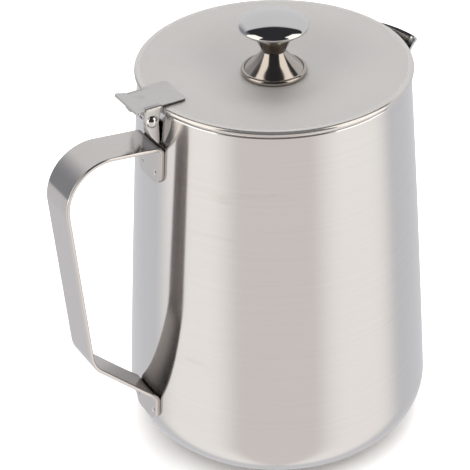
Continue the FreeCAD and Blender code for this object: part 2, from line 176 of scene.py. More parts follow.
def make_piece(name, verts, faces, body, replaced, material, sharp_deg=None):
    """A smooth-shaded mesh object, from vertices in millimetres, that rides on a body."""
    mesh = bpy.data.meshes.new(name)
    mesh.from_pydata([Vector(v) * MM for v in verts], [], faces)
    mesh.validate()
    work = bmesh.new()
    work.from_mesh(mesh)
    bmesh.ops.remove_doubles(work, verts=work.verts, dist=MERGE_DISTANCE)
    bmesh.ops.recalc_face_normals(work, faces=work.faces)
    work.to_mesh(mesh)
    work.free()
    mesh.polygons.foreach_set("use_smooth", [True] * len(mesh.polygons))
    if sharp_deg is not None:
        mesh.set_sharp_from_angle(angle=math.radians(sharp_deg))
    piece = bpy.data.objects.new(name, mesh)
    bpy.context.scene.collection.objects.link(piece)
    mesh.materials.append(material)
    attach(piece, body)
    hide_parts(replaced)
    return piece


def weigh_normals(piece):
    """Flat faces stay flat in shading next to their rounded edges."""
    modifier = piece.modifiers.new("weighted_normals", "WEIGHTED_NORMAL")
    modifier.keep_sharp = True
    modifier.weight = 100


def ring_faces(rows, columns, close_rows=False):
    """Quads of a grid that is closed along its columns, and along its rows if asked."""
    faces = []
    for i in range(rows if close_rows else rows - 1):
        a = i * columns
        b = (i + 1) % rows * columns
        for j in range(columns):
            k = (j + 1) % columns
            faces.append((a + j, a + k, b + k, b + j))
    return faces


def end_caps(rows, columns):
    """Faces that close the first and the last ring of a grid."""
    last = (rows - 1) * columns
    return [tuple(range(columns)), tuple(reversed(range(last, last + columns)))]


def arc_points(centre, radius, start_deg, end_deg, steps):
    """Points (x, z) along an arc, both ends included."""
    points = []
    for i in range(steps + 1):
        angle = math.radians(start_deg + (end_deg - start_deg) * i / steps)
        points.append((centre[0] + radius * math.cos(angle), centre[1] + radius * math.sin(angle)))
    return points


def bezier_points(poles, steps):
    """Points along a cubic Bezier curve, both ends included."""
    a, b, c, d = [Vector(p) for p in poles]
    points = []
    for i in range(steps + 1):
        t = i / steps
        u = 1 - t
        points.append(tuple(a * u ** 3 + b * 3 * t * u * u + c * 3 * t * t * u + d * t ** 3))
    return points


def line_points(a, b, steps):
    """Points along a straight line, both ends included."""
    return [tuple(Vector(a).lerp(Vector(b), i / steps)) for i in range(steps + 1)]


def chain(*runs):
    """One outline from runs that each start where the one before ended."""
    outline = list(runs[0])
    for run in runs[1:]:
        outline += run[1:]
    return outline


def revolve(outline, segments, closed=False):
    """Vertices and faces of a profile (radius, z) turned about Z."""
    verts = []
    for radius, z in outline:
        for j in range(segments):
            angle = 2 * math.pi * j / segments
            verts.append((radius * math.cos(angle), radius * math.sin(angle), z))
    return verts, ring_faces(len(outline), segments, closed)


def running_lengths(path):
    """Distance along a path from its start to each of its points."""
    lengths = [0.0]
    for a, b in zip(path, path[1:]):
        lengths.append(lengths[-1] + (b - a).length)
    return lengths


# ---- jug body -----------------------------------------------------------------------------

def wall_radius(z):
    """Outer radius of the jug's side at height z."""
    t = z / JUG_HEIGHT
    return FOOT_RADIUS + (RIM_RADIUS - FOOT_RADIUS) * t + 4 * SIDE_BULGE * t * (1 - t)


def near_wall(y, z):
    """Distance from the YZ plane to the wall, at a place beside the handle."""
    return math.sqrt(wall_radius(z) ** 2 - y ** 2)


def smooth_max(a, b, blend):
    """The larger of two lengths, rounded where they cross."""
    h = max(blend - abs(a - b), 0) / blend
    return max(a, b) + h * h * blend / 4


def lip_radius(angle, z):
    """Outer radius at an angle from +X: the wall, or the lip's V where that is further out."""
    wall = wall_radius(z)
    start_z = JUG_HEIGHT - LIP_LENGTH
    if z <= start_z:
        return wall
    rise = (z - start_z) / LIP_LENGTH
    start = wall_radius(start_z) - LIP_START_DEPTH
    apex = start + (LIP_REACH - start) * rise ** LIP_CURVE
    rounded = math.sqrt(angle * angle + LIP_TIP_ROUNDING ** 2) - LIP_TIP_ROUNDING * LIP_TIP_SHARE
    if rounded > math.pi / 2 - LIP_HALF_ANGLE:
        return wall
    beak = apex * math.sin(LIP_HALF_ANGLE) / math.sin(rounded + LIP_HALF_ANGLE)
    return smooth_max(wall, beak, LIP_BLEND_LOW + LIP_BLEND * rise)


def lip_drop(angle, z):
    """How far the pressed metal sinks, most at the tip of the edge."""
    start_z = JUG_HEIGHT - LIP_LENGTH
    rise = max(z - start_z, 0) / LIP_LENGTH
    out = lip_radius(angle, JUG_HEIGHT) - RIM_RADIUS
    most = lip_radius(0, JUG_HEIGHT) - RIM_RADIUS
    return LIP_DIP * (out / most) ** LIP_DIP_CURVE * rise ** 2


def jug_angles():
    """Angles round the jug, closer together across the lip."""
    lip_side = 40
    lip_step = 0.5
    rest_steps = 140
    rest_step = (360 - 2 * lip_side) / rest_steps
    lip = [math.radians(-lip_side + lip_step * i) for i in range(round(2 * lip_side / lip_step))]
    rest = [math.radians(lip_side + rest_step * i) for i in range(rest_steps)]
    return lip + rest


def jug_profile():
    """Profile (radius, height) of the outside, from the middle of the base to the rim."""
    tilt = math.atan((wall_radius(0) - wall_radius(FOOT_ROUNDING)) / FOOT_ROUNDING)
    touch_z = FOOT_ROUNDING * (1 + math.sin(tilt))
    centre_x = wall_radius(touch_z) - FOOT_ROUNDING * math.cos(tilt)
    base = [(radius, 0.0) for radius in BASE_RINGS]
    base_edge = line_points(base[-1], (centre_x, 0.0), 4)
    foot = arc_points((centre_x, FOOT_ROUNDING), FOOT_ROUNDING, -90, math.degrees(tilt), 30)
    lip_start = JUG_HEIGHT - LIP_LENGTH
    side = []
    for low, high, steps in ((foot[-1][1], lip_start, 40), (lip_start, JUG_HEIGHT, 48)):
        heights = [low + (high - low) * i / steps for i in range(steps + 1)]
        side.append([(wall_radius(z), z) for z in heights])
    return chain(base, base_edge, foot, *side)


def press_lip(profile, angles):
    """The outside of the jug as a grid of points, row by row, with the lip pressed out."""
    grid = []
    for radius, height in profile:
        for angle in angles:
            from_lip = abs(math.remainder(angle, 2 * math.pi))
            r = radius
            z = height
            if height > FOOT_ROUNDING:
                r = lip_radius(from_lip, height)
                z = height - lip_drop(from_lip, height)
            grid.append(Vector((r * math.cos(angle), r * math.sin(angle), z)))
    return grid


def grid_normals(grid, rows, columns):
    """Outward normals of a grid of points that is closed along its columns."""
    normals = []
    for i in range(rows):
        above = min(i + 1, rows - 1) * columns
        below = max(i - 1, 0) * columns
        for j in range(columns):
            up = grid[above + j] - grid[below + j]
            along = grid[i * columns + (j + 1) % columns] - grid[i * columns + (j - 1) % columns]
            normals.append(along.cross(up).normalized())
    return normals


def build_jug_body(material):
    angles = jug_angles()
    profile = jug_profile()
    rows = len(profile)
    columns = len(angles)
    outer = press_lip(profile, angles)
    normals = grid_normals(outer, rows, columns)
    top = (rows - 1) * columns
    crown = Vector((0, 0, WALL * max(lift for share, lift in RIM_ROUNDING)))
    rounding = []
    for share, lift in RIM_ROUNDING:
        for j in range(columns):
            up = (outer[top + j] - outer[top - columns + j]).normalized()
            inwards = normals[top + j] * (WALL * share)
            rounding.append(outer[top + j] - inwards + up * (WALL * lift) - crown)
    for j in range(columns):
        outer[top + j] -= crown
    inner = [p - n * WALL for p, n in zip(outer, normals)]
    verts = outer + rounding
    for i in reversed(range(rows)):
        verts += inner[i * columns:(i + 1) * columns]
    total_rows = rows + len(RIM_ROUNDING) + rows
    faces = ring_faces(total_rows, columns) + end_caps(total_rows, columns)
    make_piece("jug_body_shell", verts, faces, "jug", "jug_body", material)


# ---- lid ----------------------------------------------------------------------------------

def build_lid(material):
    curl_x = LID_RADIUS - CURL_RADIUS
    inner = CURL_RADIUS - LID_SHEET
    under = LID_TOP - LID_SHEET
    dish = [(DISH_FLOOR_RADIUS, DISH_TOP), (DISH_LOWER_POLE, DISH_TOP),
            (DISH_UPPER_POLE, LID_TOP), (DISH_RADIUS, LID_TOP)]
    dish_under = [(x, z - LID_SHEET) for x, z in reversed(dish)]
    outline = chain(
        line_points((SCREW_HOLE_RADIUS, DISH_TOP), dish[0], 6),
        bezier_points(dish, 40),
        line_points(dish[-1], (curl_x, LID_TOP), 6),
        arc_points((curl_x, CURL_Z), CURL_RADIUS, 90, -180, 36),
        line_points((curl_x - CURL_RADIUS, CURL_Z), (curl_x - inner, CURL_Z), 1),
        arc_points((curl_x, CURL_Z), inner, -180, 90, 24),
        line_points((curl_x, under), (DISH_RADIUS, under), 6),
        bezier_points(dish_under, 40),
        line_points(dish_under[-1], (SCREW_HOLE_RADIUS, DISH_TOP - LID_SHEET), 4),
    )
    verts, faces = revolve(outline, 256, closed=True)
    make_piece("lid_pressing", verts, faces, "lid", "lid_disc", material, sharp_deg=40)


# ---- knob ---------------------------------------------------------------------------------

def on_knob(points):
    """Points whose heights count from the floor of the dish, in the jug's own heights."""
    return [(x, DISH_TOP + z) for x, z in points]


def build_knob_foot(material):
    half_bead = KNOB_BEAD_HEIGHT / 2
    bead_x = KNOB_FOOT_RADIUS - half_bead
    ledge = (bead_x - KNOB_FOOT_LEDGE, 0.0)
    groove = (KNOB_GROOVE_RADIUS, KNOB_GROOVE_HEIGHT)
    edge_x = KNOB_WAIST_RADIUS - KNOB_WAIST_EDGE
    edge_z = KNOB_WAIST - KNOB_WAIST_EDGE
    bore_top = (SCREW_HOLE_RADIUS, KNOB_WAIST)
    bore_low = (SCREW_HOLE_RADIUS, KNOB_HOLLOW_TOP[1])
    into_groove = [
        (bead_x, KNOB_BEAD_HEIGHT),
        (bead_x - KNOB_BEAD_EASE[0], KNOB_BEAD_HEIGHT),
        (KNOB_GROOVE_RADIUS, KNOB_GROOVE_HEIGHT + KNOB_BEAD_EASE[1]),
        groove,
    ]
    outline = chain(
        line_points(ledge, (bead_x, 0.0), 1),
        arc_points((bead_x, half_bead), half_bead, -90, 90, 14),
        bezier_points(into_groove, 6),
        bezier_points([groove, *KNOB_FLARE_POLES, (KNOB_WAIST_RADIUS, edge_z)], 36),
        arc_points((edge_x, edge_z), KNOB_WAIST_EDGE, 0, 90, 4),
        line_points((edge_x, KNOB_WAIST), bore_top, 1),
        line_points(bore_top, bore_low, 1),
        line_points(bore_low, KNOB_HOLLOW_TOP, 1),
        bezier_points([KNOB_HOLLOW_TOP, *KNOB_HOLLOW_POLES, ledge], 16),
    )
    verts, faces = revolve(on_knob(outline), KNOB_SEGMENTS, closed=True)
    make_piece("knob_foot_shell", verts, faces, "lid", "knob_foot", material, sharp_deg=50)


def build_knob_cap(material):
    edge_x = KNOB_WAIST_RADIUS - KNOB_WAIST_EDGE
    edge_z = KNOB_WAIST + KNOB_WAIST_EDGE
    outline = chain(
        line_points((KNOB_BASE_RING, KNOB_WAIST), (edge_x, KNOB_WAIST), 1),
        arc_points((edge_x, edge_z), KNOB_WAIST_EDGE, -90, 0, 4),
        bezier_points([(KNOB_WAIST_RADIUS, edge_z), *KNOB_NECK_POLES, KNOB_NECK], 24),
        bezier_points([KNOB_NECK, *KNOB_BRIM_POLES, KNOB_EQUATOR], 32),
        bezier_points([KNOB_EQUATOR, *KNOB_DOME_POLES, KNOB_CROWN], 48),
    )
    verts, faces = revolve(on_knob(outline), KNOB_SEGMENTS)
    faces += end_caps(len(outline), KNOB_SEGMENTS)
    make_piece("knob_cap_turned", verts, faces, "lid", "knob_cap", material, sharp_deg=50)


# ---- bent sheet metal ---------------------------------------------------------------------

def sheet_section(left, right, half, corner, columns, arc_steps):
    """Outline of a strip's section, from its upper left corner over the right one."""
    inner_left = left + corner
    inner_right = right - corner
    rise = half - corner
    section = [(inner_left + (inner_right - inner_left) * j / columns, half) for j in range(columns + 1)]
    section += arc_points((inner_right, rise), corner, 90, 0, arc_steps)[1:]
    section += arc_points((inner_right, -rise), corner, 0, -90, arc_steps)
    for j in range(1, columns + 1):
        section.append((inner_right - (inner_right - inner_left) * j / columns, -half))
    section += arc_points((inner_left, -rise), corner, -90, -180, arc_steps)[1:]
    section += arc_points((inner_left, rise), corner, 180, 90, arc_steps)[:-1]
    return section


def bent_sheet(path, across, low, high, thickness, edge, columns):
    """Vertices and faces of a strip of sheet with rounded edges.

    path holds points of the strip's middle surface, across the unit vector over its width at
    each point, and low and high how far it reaches along that vector.
    """
    thinnest = 0.001
    arc_steps = 4
    lengths = running_lengths(path)
    verts = []
    for i, place in enumerate(path):
        tangent = (path[min(i + 1, len(path) - 1)] - path[max(i - 1, 0)]).normalized()
        normal = across[i].cross(tangent).normalized()
        from_end = min(lengths[i], lengths[-1] - lengths[i])
        shrink = 0.0
        if from_end < edge:
            shrink = edge - math.sqrt(max(edge * edge - (edge - from_end) ** 2, 0.0))
        half = thickness / 2 - shrink
        corner = max(min(edge, half, (high[i] - low[i]) / 2 - thinnest), thinnest)
        left = low[i] + shrink
        right = high[i] - shrink
        if right - left < 2 * corner:
            middle = (left + right) / 2
            left = middle - corner
            right = middle + corner
        for sideways, out in sheet_section(left, right, half, corner, columns, arc_steps):
            verts.append(place + across[i] * sideways + normal * out)
    count = len(verts) // len(path)
    faces = ring_faces(len(path), count)
    lower_start = columns + 2 * arc_steps + 1
    for start in (0, (len(path) - 1) * count):
        for j in range(columns):
            upper = start + j
            lower = start + lower_start + columns - j
            faces.append((upper, upper + 1, lower - 1, lower))
        faces.append(tuple(range(start + columns, start + lower_start + 1)))
        faces.append((*range(start + lower_start + columns, start + count), start))
    return verts, faces


def refine_ends(path, edge):
    """Adds points near both ends of a path, where the edge is rounded."""
    shares = (0.04, 0.18, 0.42, 0.75, 1.0)
    along = (path[1] - path[0]).normalized()
    back = (path[-2] - path[-1]).normalized()
    first = [path[0] + along * edge * s for s in shares]
    last = [path[-1] + back * edge * s for s in reversed(shares)]
    return [path[0]] + first + path[1:-1] + last + [path[-1]]


def rounded_path(corners, radii, spacing):
    """Points along straight runs joined by tangent arcs."""
    points = []
    start = corners[0]
    for before, corner, after, radius in zip(corners, corners[1:], corners[2:], radii):
        towards = (before - corner).normalized()
        away = (after - corner).normalized()
        half = towards.angle(away) / 2
        first = corner + towards * (radius / math.tan(half))
        last = corner + away * (radius / math.tan(half))
        centre = corner + (towards + away).normalized() * (radius / math.sin(half))
        count = max(2, int((first - start).length / spacing))
        points += [start.lerp(first, i / count) for i in range(count)]
        sweep = math.pi - 2 * half
        count = max(8, int(sweep * radius / (spacing / 2)))
        for i in range(count):
            arm = (first - centre).normalized().slerp((last - centre).normalized(), i / count)
            points.append(centre + arm * radius)
        start = last
    count = max(2, int((corners[-1] - start).length / spacing))
    points += [start.lerp(corners[-1], i / count) for i in range(count + 1)]
    return points


def corner_loss(from_end, radius):
    """How much narrower a strip with rounded corners is, at a distance from its end."""
    if from_end >= radius:
        return 0.0
    return radius - math.sqrt(max(radius ** 2 - (radius - from_end) ** 2, 0))


# ---- strap handle -------------------------------------------------------------------------

def offset_corners(corners, offset):
    """The corners of a parallel line, on the right of the direction of travel seen from -Y."""
    normals = []
    for a, b in zip(corners, corners[1:]):
        along = (b - a).normalized()
        normals.append(Vector((-along.z, 0, along.x)))
    moved = [corners[0] + normals[0] * offset]
    for corner, before, after in zip(corners[1:], normals, normals[1:]):
        moved.append(corner + (before + after) * (offset / (1 + before.dot(after))))
    moved.append(corners[-1] + normals[-1] * offset)
    return moved


def strap_path():
    """The strap's middle line, from the lower end of its top tab to that of its low tab."""
    outline = (
        (wall_radius(TOP_TAB_LOW), TOP_TAB_LOW),
        (wall_radius(TOP_RUN_INNER), TOP_RUN_INNER),
        (GRIP_TOP_REACH, TOP_RUN_OUTER),
        (GRIP_BOTTOM_REACH, GRIP_BOTTOM),
        (wall_radius(LOW_TAB_TOP) + STRAP_THICKNESS, LOW_TAB_TOP),
        (wall_radius(LOW_TAB_LOW) + STRAP_THICKNESS, LOW_TAB_LOW),
    )
    half = STRAP_THICKNESS / 2
    bends = [bend - half for bend in (BEND_AT_TOP_TAB, BEND_AT_GRIP_TOP, BEND_AT_GRIP_BOTTOM)]
    bends.append(BEND_AT_LOW_TAB + half)
    middle = offset_corners([Vector((-reach, 0, z)) for reach, z in outline], half)
    return refine_ends(rounded_path(middle, bends, STRAP_SPACING), STRAP_EDGE)


def weld_places():
    """Places on the strap's outer face where its tabs are welded to the jug."""
    return [(y, height) for height, beside in WELD_PLACES for y in (-beside, beside)]


def dent(verts, place, depth, radius, direction):
    """Presses a round mark into a face."""
    for v in verts:
        away = (v - place).length
        if away < radius:
            v += direction * (depth * (1 - (away / radius) ** 2) ** 2)


def hug_wall(verts):
    """Bends the tabs, which are flat so far, round the jug's wall."""
    for v in verts:
        from_wall = -v.x - wall_radius(v.z)
        hug = min(max((TAB_HUG - from_wall) / TAB_HUG, 0), 1)
        v.x += hug * (wall_radius(v.z) - near_wall(v.y, v.z))


def build_strap(material):
    path = strap_path()
    lengths = running_lengths(path)
    high = []
    for length in lengths:
        from_end = min(length, lengths[-1] - length)
        high.append(STRAP_WIDTH / 2 - corner_loss(from_end, TAB_CORNER_RADIUS))
    low = [-reach for reach in high]
    across = [Vector((0, 1, 0))] * len(path)
    verts, faces = bent_sheet(path, across, low, high, STRAP_THICKNESS, STRAP_EDGE, 48)
    for y, height in weld_places():
        face = Vector((-wall_radius(height) - STRAP_THICKNESS, y, height))
        dent(verts, face, WELD_DEPTH, WELD_RADIUS, Vector((1, 0, 0)))
    hug_wall(verts)
    piece = make_piece("handle_strap_bent", verts, faces, "jug", "handle_strap", material)
    weigh_normals(piece)


# ---- hinge --------------------------------------------------------------------------------

def plate_half_width(x):
    """Half width of the lid's plate in plan, at distance x from the jug's axis."""
    width = PLATE_INNER_HALF_WIDTH
    if x > PLATE_HORN:
        share = (x - PLATE_HORN) / (PLATE_OUTER - PLATE_HORN)
        smooth = share * share * (3 - 2 * share)
        width = PLATE_HALF_WIDTH + (PLATE_HORN_HALF_WIDTH - PLATE_HALF_WIDTH) * smooth
    elif x > PLATE_NARROW:
        width = PLATE_HALF_WIDTH
    return width - corner_loss(min(x - PLATE_INNER, PLATE_OUTER - x), PLATE_CORNER_RADIUS)


def plate_deck():
    """The plate's flat part, which is narrower between the folds of its ears."""
    columns = 60
    middle_z = PLATE_TOP - PLATE_SHEET / 2
    reaches = [PLATE_INNER + (PLATE_OUTER - PLATE_INNER) * i / columns for i in range(columns + 1)]
    path = refine_ends([Vector((-x, 0, middle_z)) for x in reaches], PLATE_EDGE)
    high = []
    for p in path:
        if EAR_INNER_REACH < -p.x < EAR_OUTER_REACH:
            high.append(EAR_OUTER - PLATE_FOLD)
        else:
            high.append(plate_half_width(-p.x))
    low = [-reach for reach in high]
    across = [Vector((0, 1, 0))] * len(path)
    return bent_sheet(path, across, low, high, PLATE_SHEET, PLATE_EDGE, 16)


def ear_reaches(z):
    """Nearest and furthest distance from the jug's axis that an ear covers at height z."""
    if z > PIN_Z:
        drop = (PLATE_TOP - z) / (PLATE_TOP - PIN_Z)
        inner = EAR_INNER_REACH + (PIN_REACH - KNUCKLE_RADIUS - EAR_INNER_REACH) * drop
        outer = EAR_OUTER_REACH + (PIN_REACH + KNUCKLE_RADIUS - EAR_OUTER_REACH) * drop
        return inner, outer
    half = math.sqrt(max(KNUCKLE_RADIUS ** 2 - (PIN_Z - z) ** 2, 0.01))
    return PIN_REACH - half, PIN_REACH + half


def plate_ear(side):
    """An ear, from the plate's flat part round its fold and down past the pin."""
    middle_z = PLATE_TOP - PLATE_SHEET / 2
    fold_y = EAR_OUTER - PLATE_FOLD
    fold_z = PLATE_TOP - PLATE_FOLD
    middle_radius = PLATE_FOLD - PLATE_SHEET / 2
    ear_y = fold_y + middle_radius
    run = chain(
        line_points((fold_y - PLATE_FLAT, middle_z), (fold_y, middle_z), 2),
        arc_points((fold_y, fold_z), middle_radius, 90, 0, 8),
        line_points((ear_y, fold_z), (ear_y, PIN_Z - KNUCKLE_RADIUS), 30),
    )
    path = refine_ends([Vector((0, side * y, z)) for y, z in run], PLATE_EDGE)
    reaches = [ear_reaches(p.z) for p in path]
    low = [-outer for inner, outer in reaches]
    high = [-inner for inner, outer in reaches]
    across = [Vector((1, 0, 0))] * len(path)
    return bent_sheet(path, across, low, high, PLATE_SHEET, PLATE_EDGE, 10)


def build_thumb_plate(material):
    verts, faces = plate_deck()
    for side in (-1, 1):
        ear_verts, ear_faces = plate_ear(side)
        start = len(verts)
        verts += ear_verts
        faces += [tuple(start + k for k in face) for face in ear_faces]
    piece = make_piece("thumb_plate_folded", verts, faces, "lid", "thumb_plate", material)
    weigh_normals(piece)


def between(x, first, last):
    """Height on the straight line from one point (x, z) to another."""
    share = (x - first[0]) / (last[0] - first[0])
    return first[1] + (last[1] - first[1]) * share


def knuckle_rise(x):
    """Half height of the round end about the pin."""
    off = min(abs(x - PIN_REACH), KNUCKLE_RADIUS)
    return math.sqrt(KNUCKLE_RADIUS ** 2 - off ** 2)


def cheek_bottom(x, web_edge, tip):
    """Lower edge of a cheek, at distance x from the jug's axis."""
    if x <= web_edge:
        return BRACKET_LOW
    if x <= CHEEK_ELBOW[0]:
        return between(x, (web_edge, BRACKET_LOW), CHEEK_ELBOW)
    if x <= CHEEK_SHOULDER[0]:
        return between(x, CHEEK_ELBOW, CHEEK_SHOULDER)
    return between(x, CHEEK_SHOULDER, (tip, PIN_Z))


def cheek_top(x, web_x):
    """Upper edge of a cheek, which rises from the web to the knuckle."""
    knuckle_start = PIN_REACH - KNUCKLE_RADIUS
    if x < knuckle_start:
        share = (x - web_x) / (knuckle_start - web_x)
        return BRACKET_WEB_TOP + (PIN_Z - BRACKET_WEB_TOP) * max(share, 0) ** 2
    return PIN_Z + knuckle_rise(x)


def far_cheek_bottom(x, web_x):
    """Lower edge of the shallower cheek, from the web to under the pin."""
    shallow = between(x, (web_x, FAR_CHEEK_LOW), (PIN_REACH, PIN_Z - KNUCKLE_RADIUS))
    return min(shallow, PIN_Z - knuckle_rise(x))


def build_bracket(material):
    """A channel: one cheek, a fold, the web on the jug's wall, a fold and the other cheek."""
    wall_x = wall_radius(BRACKET_LOW)
    web_x = wall_x + BRACKET_SHEET / 2
    fold_x = web_x + BRACKET_FOLD
    tip_x = PIN_REACH + KNUCKLE_RADIUS
    y_mid = CHEEK_OUTER - BRACKET_SHEET / 2
    fold_y = y_mid - BRACKET_FOLD
    run = chain(
        line_points((tip_x, -y_mid), (fold_x, -y_mid), 40),
        arc_points((fold_x, -fold_y), BRACKET_FOLD, 270, 180, 8),
        line_points((web_x, -fold_y), (web_x, fold_y), 12),
        arc_points((fold_x, fold_y), BRACKET_FOLD, 180, 90, 8),
        line_points((fold_x, y_mid), (tip_x, y_mid), 40),
    )
    path = [Vector((-x, y, 0)) for x, y in run]
    low = []
    high = []
    for p in path:
        bottom = cheek_bottom(-p.x, wall_x + BRACKET_SHEET, tip_x)
        if p.y > 0 and -p.x > web_x:
            bottom = max(bottom, far_cheek_bottom(-p.x, web_x))
        low.append(bottom)
        high.append(max(cheek_top(-p.x, web_x), bottom + CHEEK_LEAST))
    across = [Vector((0, 0, 1))] * len(path)
    verts, faces = bent_sheet(path, across, low, high, BRACKET_SHEET, BRACKET_EDGE, 14)
    piece = make_piece("hinge_bracket_folded", verts, faces, "jug", "hinge_bracket", material)
    weigh_normals(piece)


def build_pin(material):
    """A rivet along Y with a domed head at each end."""
    segments = 48
    tiny = 0.02
    ball = (PIN_HEAD_RADIUS ** 2 + PIN_HEAD_HEIGHT ** 2) / (2 * PIN_HEAD_HEIGHT)
    spread = math.degrees(math.asin(PIN_HEAD_RADIUS / ball))
    dome = arc_points((0, EAR_OUTER + PIN_HEAD_HEIGHT - ball), ball, 90, 90 - spread, 16)
    outline = [(max(r, tiny), z) for r, z in dome]
    outline += [(PIN_HEAD_RADIUS, EAR_OUTER), (PIN_RADIUS, EAR_OUTER - tiny)]
    outline += [(r, -z) for r, z in reversed(outline)]
    verts, faces = revolve(outline, segments)
    faces += end_caps(len(outline), segments)
    turned = [Vector((PIN_X + y, z, PIN_Z + x)) for x, y, z in verts]
    make_piece("hinge_pin_riveted", turned, faces, "lid", "hinge_pin", material, sharp_deg=50)


# ---- shader nodes -------------------------------------------------------------------------

def coordinates(nodes, kind):
    """Texture coordinates of one kind."""
    return nodes.new("ShaderNodeTexCoord").outputs[kind]


def axis_of(nodes, links, vector, axis):
    """One component of a vector."""
    split = nodes.new("ShaderNodeSeparateXYZ")
    links.new(vector, split.inputs["Vector"])
    return split.outputs[axis]


def flattened(nodes, links, vector):
    """A vector without its height."""
    flat = nodes.new("ShaderNodeVectorMath")
    flat.operation = "MULTIPLY"
    flat.inputs[1].default_value = (1, 1, 0)
    links.new(vector, flat.inputs[0])
    return flat.outputs["Vector"]


def product(nodes, links, first, second):
    """Two shares multiplied."""
    both = nodes.new("ShaderNodeMath")
    both.operation = "MULTIPLY"
    links.new(first, both.inputs[0])
    links.new(second, both.inputs[1])
    return both.outputs["Value"]


def share_from(nodes, links, value, start, end):
    """Share that goes smoothly from 0 to 1 as a value goes from start to end."""
    share = nodes.new("ShaderNodeMapRange")
    share.interpolation_type = "SMOOTHSTEP"
    share.inputs["From Min"].default_value = start
    share.inputs["From Max"].default_value = end
    links.new(value, share.inputs["Value"])
    return share.outputs["Result"]


def mix_tones(nodes, links, share, first, second):
    """One tone turning into another; each is a colour or a socket."""
    mix = nodes.new("ShaderNodeMix")
    mix.data_type = "RGBA"
    links.new(share, mix.inputs["Factor"])
    for name, tone in (("A", first), ("B", second)):
        if isinstance(tone, tuple):
            mix.inputs[name].default_value = (*tone, 1)
        else:
            links.new(tone, mix.inputs[name])
    return mix.outputs["Result"]


def noise(nodes, links, scale, detail, roughness=0.5):
    """Noise in the piece's own space, with its own scale along each axis."""
    stretch = nodes.new("ShaderNodeMapping")
    stretch.inputs["Scale"].default_value = scale
    links.new(coordinates(nodes, "Object"), stretch.inputs["Vector"])
    pattern = nodes.new("ShaderNodeTexNoise")
    pattern.inputs["Scale"].default_value = 1.0
    pattern.inputs["Detail"].default_value = detail
    pattern.inputs["Roughness"].default_value = roughness
    links.new(stretch.outputs["Vector"], pattern.inputs["Vector"])
    return pattern.outputs["Fac"]


# ---- materials ----------------------------------------------------------------------------

TINT_SPREAD = 0.03


def steel(name, colour, rough, rough_spread, grain, grain_depth, metallic=1.0, stretch=0.0, turn=0.0):
    """Stainless steel: even metal with a fine grain in its roughness and surface.

    grain is how fine the pattern is along each axis, per metre, and grain_depth its height in
    millimetres. stretch pulls the highlights out along the height of the piece (turn 0.25) or round its
    axis (turn 0), as a polished grain does.
    """
    material = bpy.data.materials.new(name)
    material.use_nodes = True
    nodes = material.node_tree.nodes
    links = material.node_tree.links
    nodes.clear()
    out = nodes.new("ShaderNodeOutputMaterial")
    shader = nodes.new("ShaderNodeBsdfPrincipled")
    shader.inputs["Metallic"].default_value = metallic
    shader.inputs["Anisotropic"].default_value = stretch
    shader.inputs["Anisotropic Rotation"].default_value = turn
    links.new(shader.outputs["BSDF"], out.inputs["Surface"])
    if stretch:
        around = nodes.new("ShaderNodeTangent")
        around.direction_type = "RADIAL"
        around.axis = "Z"
        links.new(around.outputs["Tangent"], shader.inputs["Tangent"])
    pattern = noise(nodes, links, grain, 4.0)
    spread = nodes.new("ShaderNodeMapRange")
    spread.inputs["To Min"].default_value = rough - rough_spread
    spread.inputs["To Max"].default_value = rough + rough_spread
    links.new(pattern, spread.inputs["Value"])
    links.new(spread.outputs["Result"], shader.inputs["Roughness"])
    darker = tuple(c * (1 - TINT_SPREAD) for c in colour)
    lighter = tuple(c * (1 + TINT_SPREAD) for c in colour)
    links.new(mix_tones(nodes, links, pattern, darker, lighter), shader.inputs["Base Color"])
    bump = nodes.new("ShaderNodeBump")
    bump.inputs["Strength"].default_value = 1.0
    bump.inputs["Distance"].default_value = grain_depth * MM
    links.new(pattern, bump.inputs["Height"])
    links.new(bump.outputs["Normal"], shader.inputs["Normal"])
    return material


def tree_of(material):
    """Nodes and links of a material."""
    return material.node_tree.nodes, material.node_tree.links


def change_where(material, share, colour_factor, rough):
    """Tints the metal and sets its roughness where a share is 1."""
    nodes, links = tree_of(material)
    shader = next(n for n in nodes if n.type == "BSDF_PRINCIPLED")
    tint = nodes.new("ShaderNodeMix")
    tint.data_type = "RGBA"
    tint.blend_type = "MULTIPLY"
    tint.inputs["B"].default_value = (*colour_factor, 1)
    gloss = nodes.new("ShaderNodeMix")
    gloss.inputs["B"].default_value = rough
    for change, name in ((tint, "Base Color"), (gloss, "Roughness")):
        links.new(share, change.inputs["Factor"])
        links.new(shader.inputs[name].links[0].from_socket, change.inputs["A"])
        links.new(change.outputs["Result"], shader.inputs[name])


def smudges(material, scale, start, end, colour_factor, rough):
    """Faint marks in scattered patches, from handling and wiping."""
    nodes, links = tree_of(material)
    patch = noise(nodes, links, scale, 5.0, 0.6)
    change_where(material, share_from(nodes, links, patch, start, end), colour_factor, rough)


def polish_rim(material, radius, colour_factor, rough):
    """A polished ring outside a radius, in millimetres, from the jug's axis."""
    nodes, links = tree_of(material)
    length = nodes.new("ShaderNodeVectorMath")
    length.operation = "LENGTH"
    links.new(flattened(nodes, links, coordinates(nodes, "Object")), length.inputs[0])
    inside = (radius - 0.5) * MM
    outside = (radius + 0.3) * MM
    share = share_from(nodes, links, length.outputs["Value"], inside, outside)
    change_where(material, share, colour_factor, rough)


def turned_foot_shaded_neck(material, colour_factor, neck_shade_factor, rough):
    """The knob's foot and neck are turned: darker and browner than the cap, and the neck, under the cap's
    brim, darkest of all with painted shade.
    """
    nodes, links = tree_of(material)
    height = axis_of(nodes, links, coordinates(nodes, "Object"), "Z")
    top = DISH_TOP + TURNED_TOP
    joint = DISH_TOP + KNOB_WAIST
    turned = share_from(nodes, links, height, (top + 0.6) * MM, (top - 0.6) * MM)
    above_joint = share_from(nodes, links, height, (joint - 0.2) * MM, (joint + 0.1) * MM)
    change_where(material, turned, colour_factor, rough)
    # The neck under the cap's brim is painted darker on top of the turned tone: painted shade.
    change_where(material, product(nodes, links, turned, above_joint), neck_shade_factor, rough)


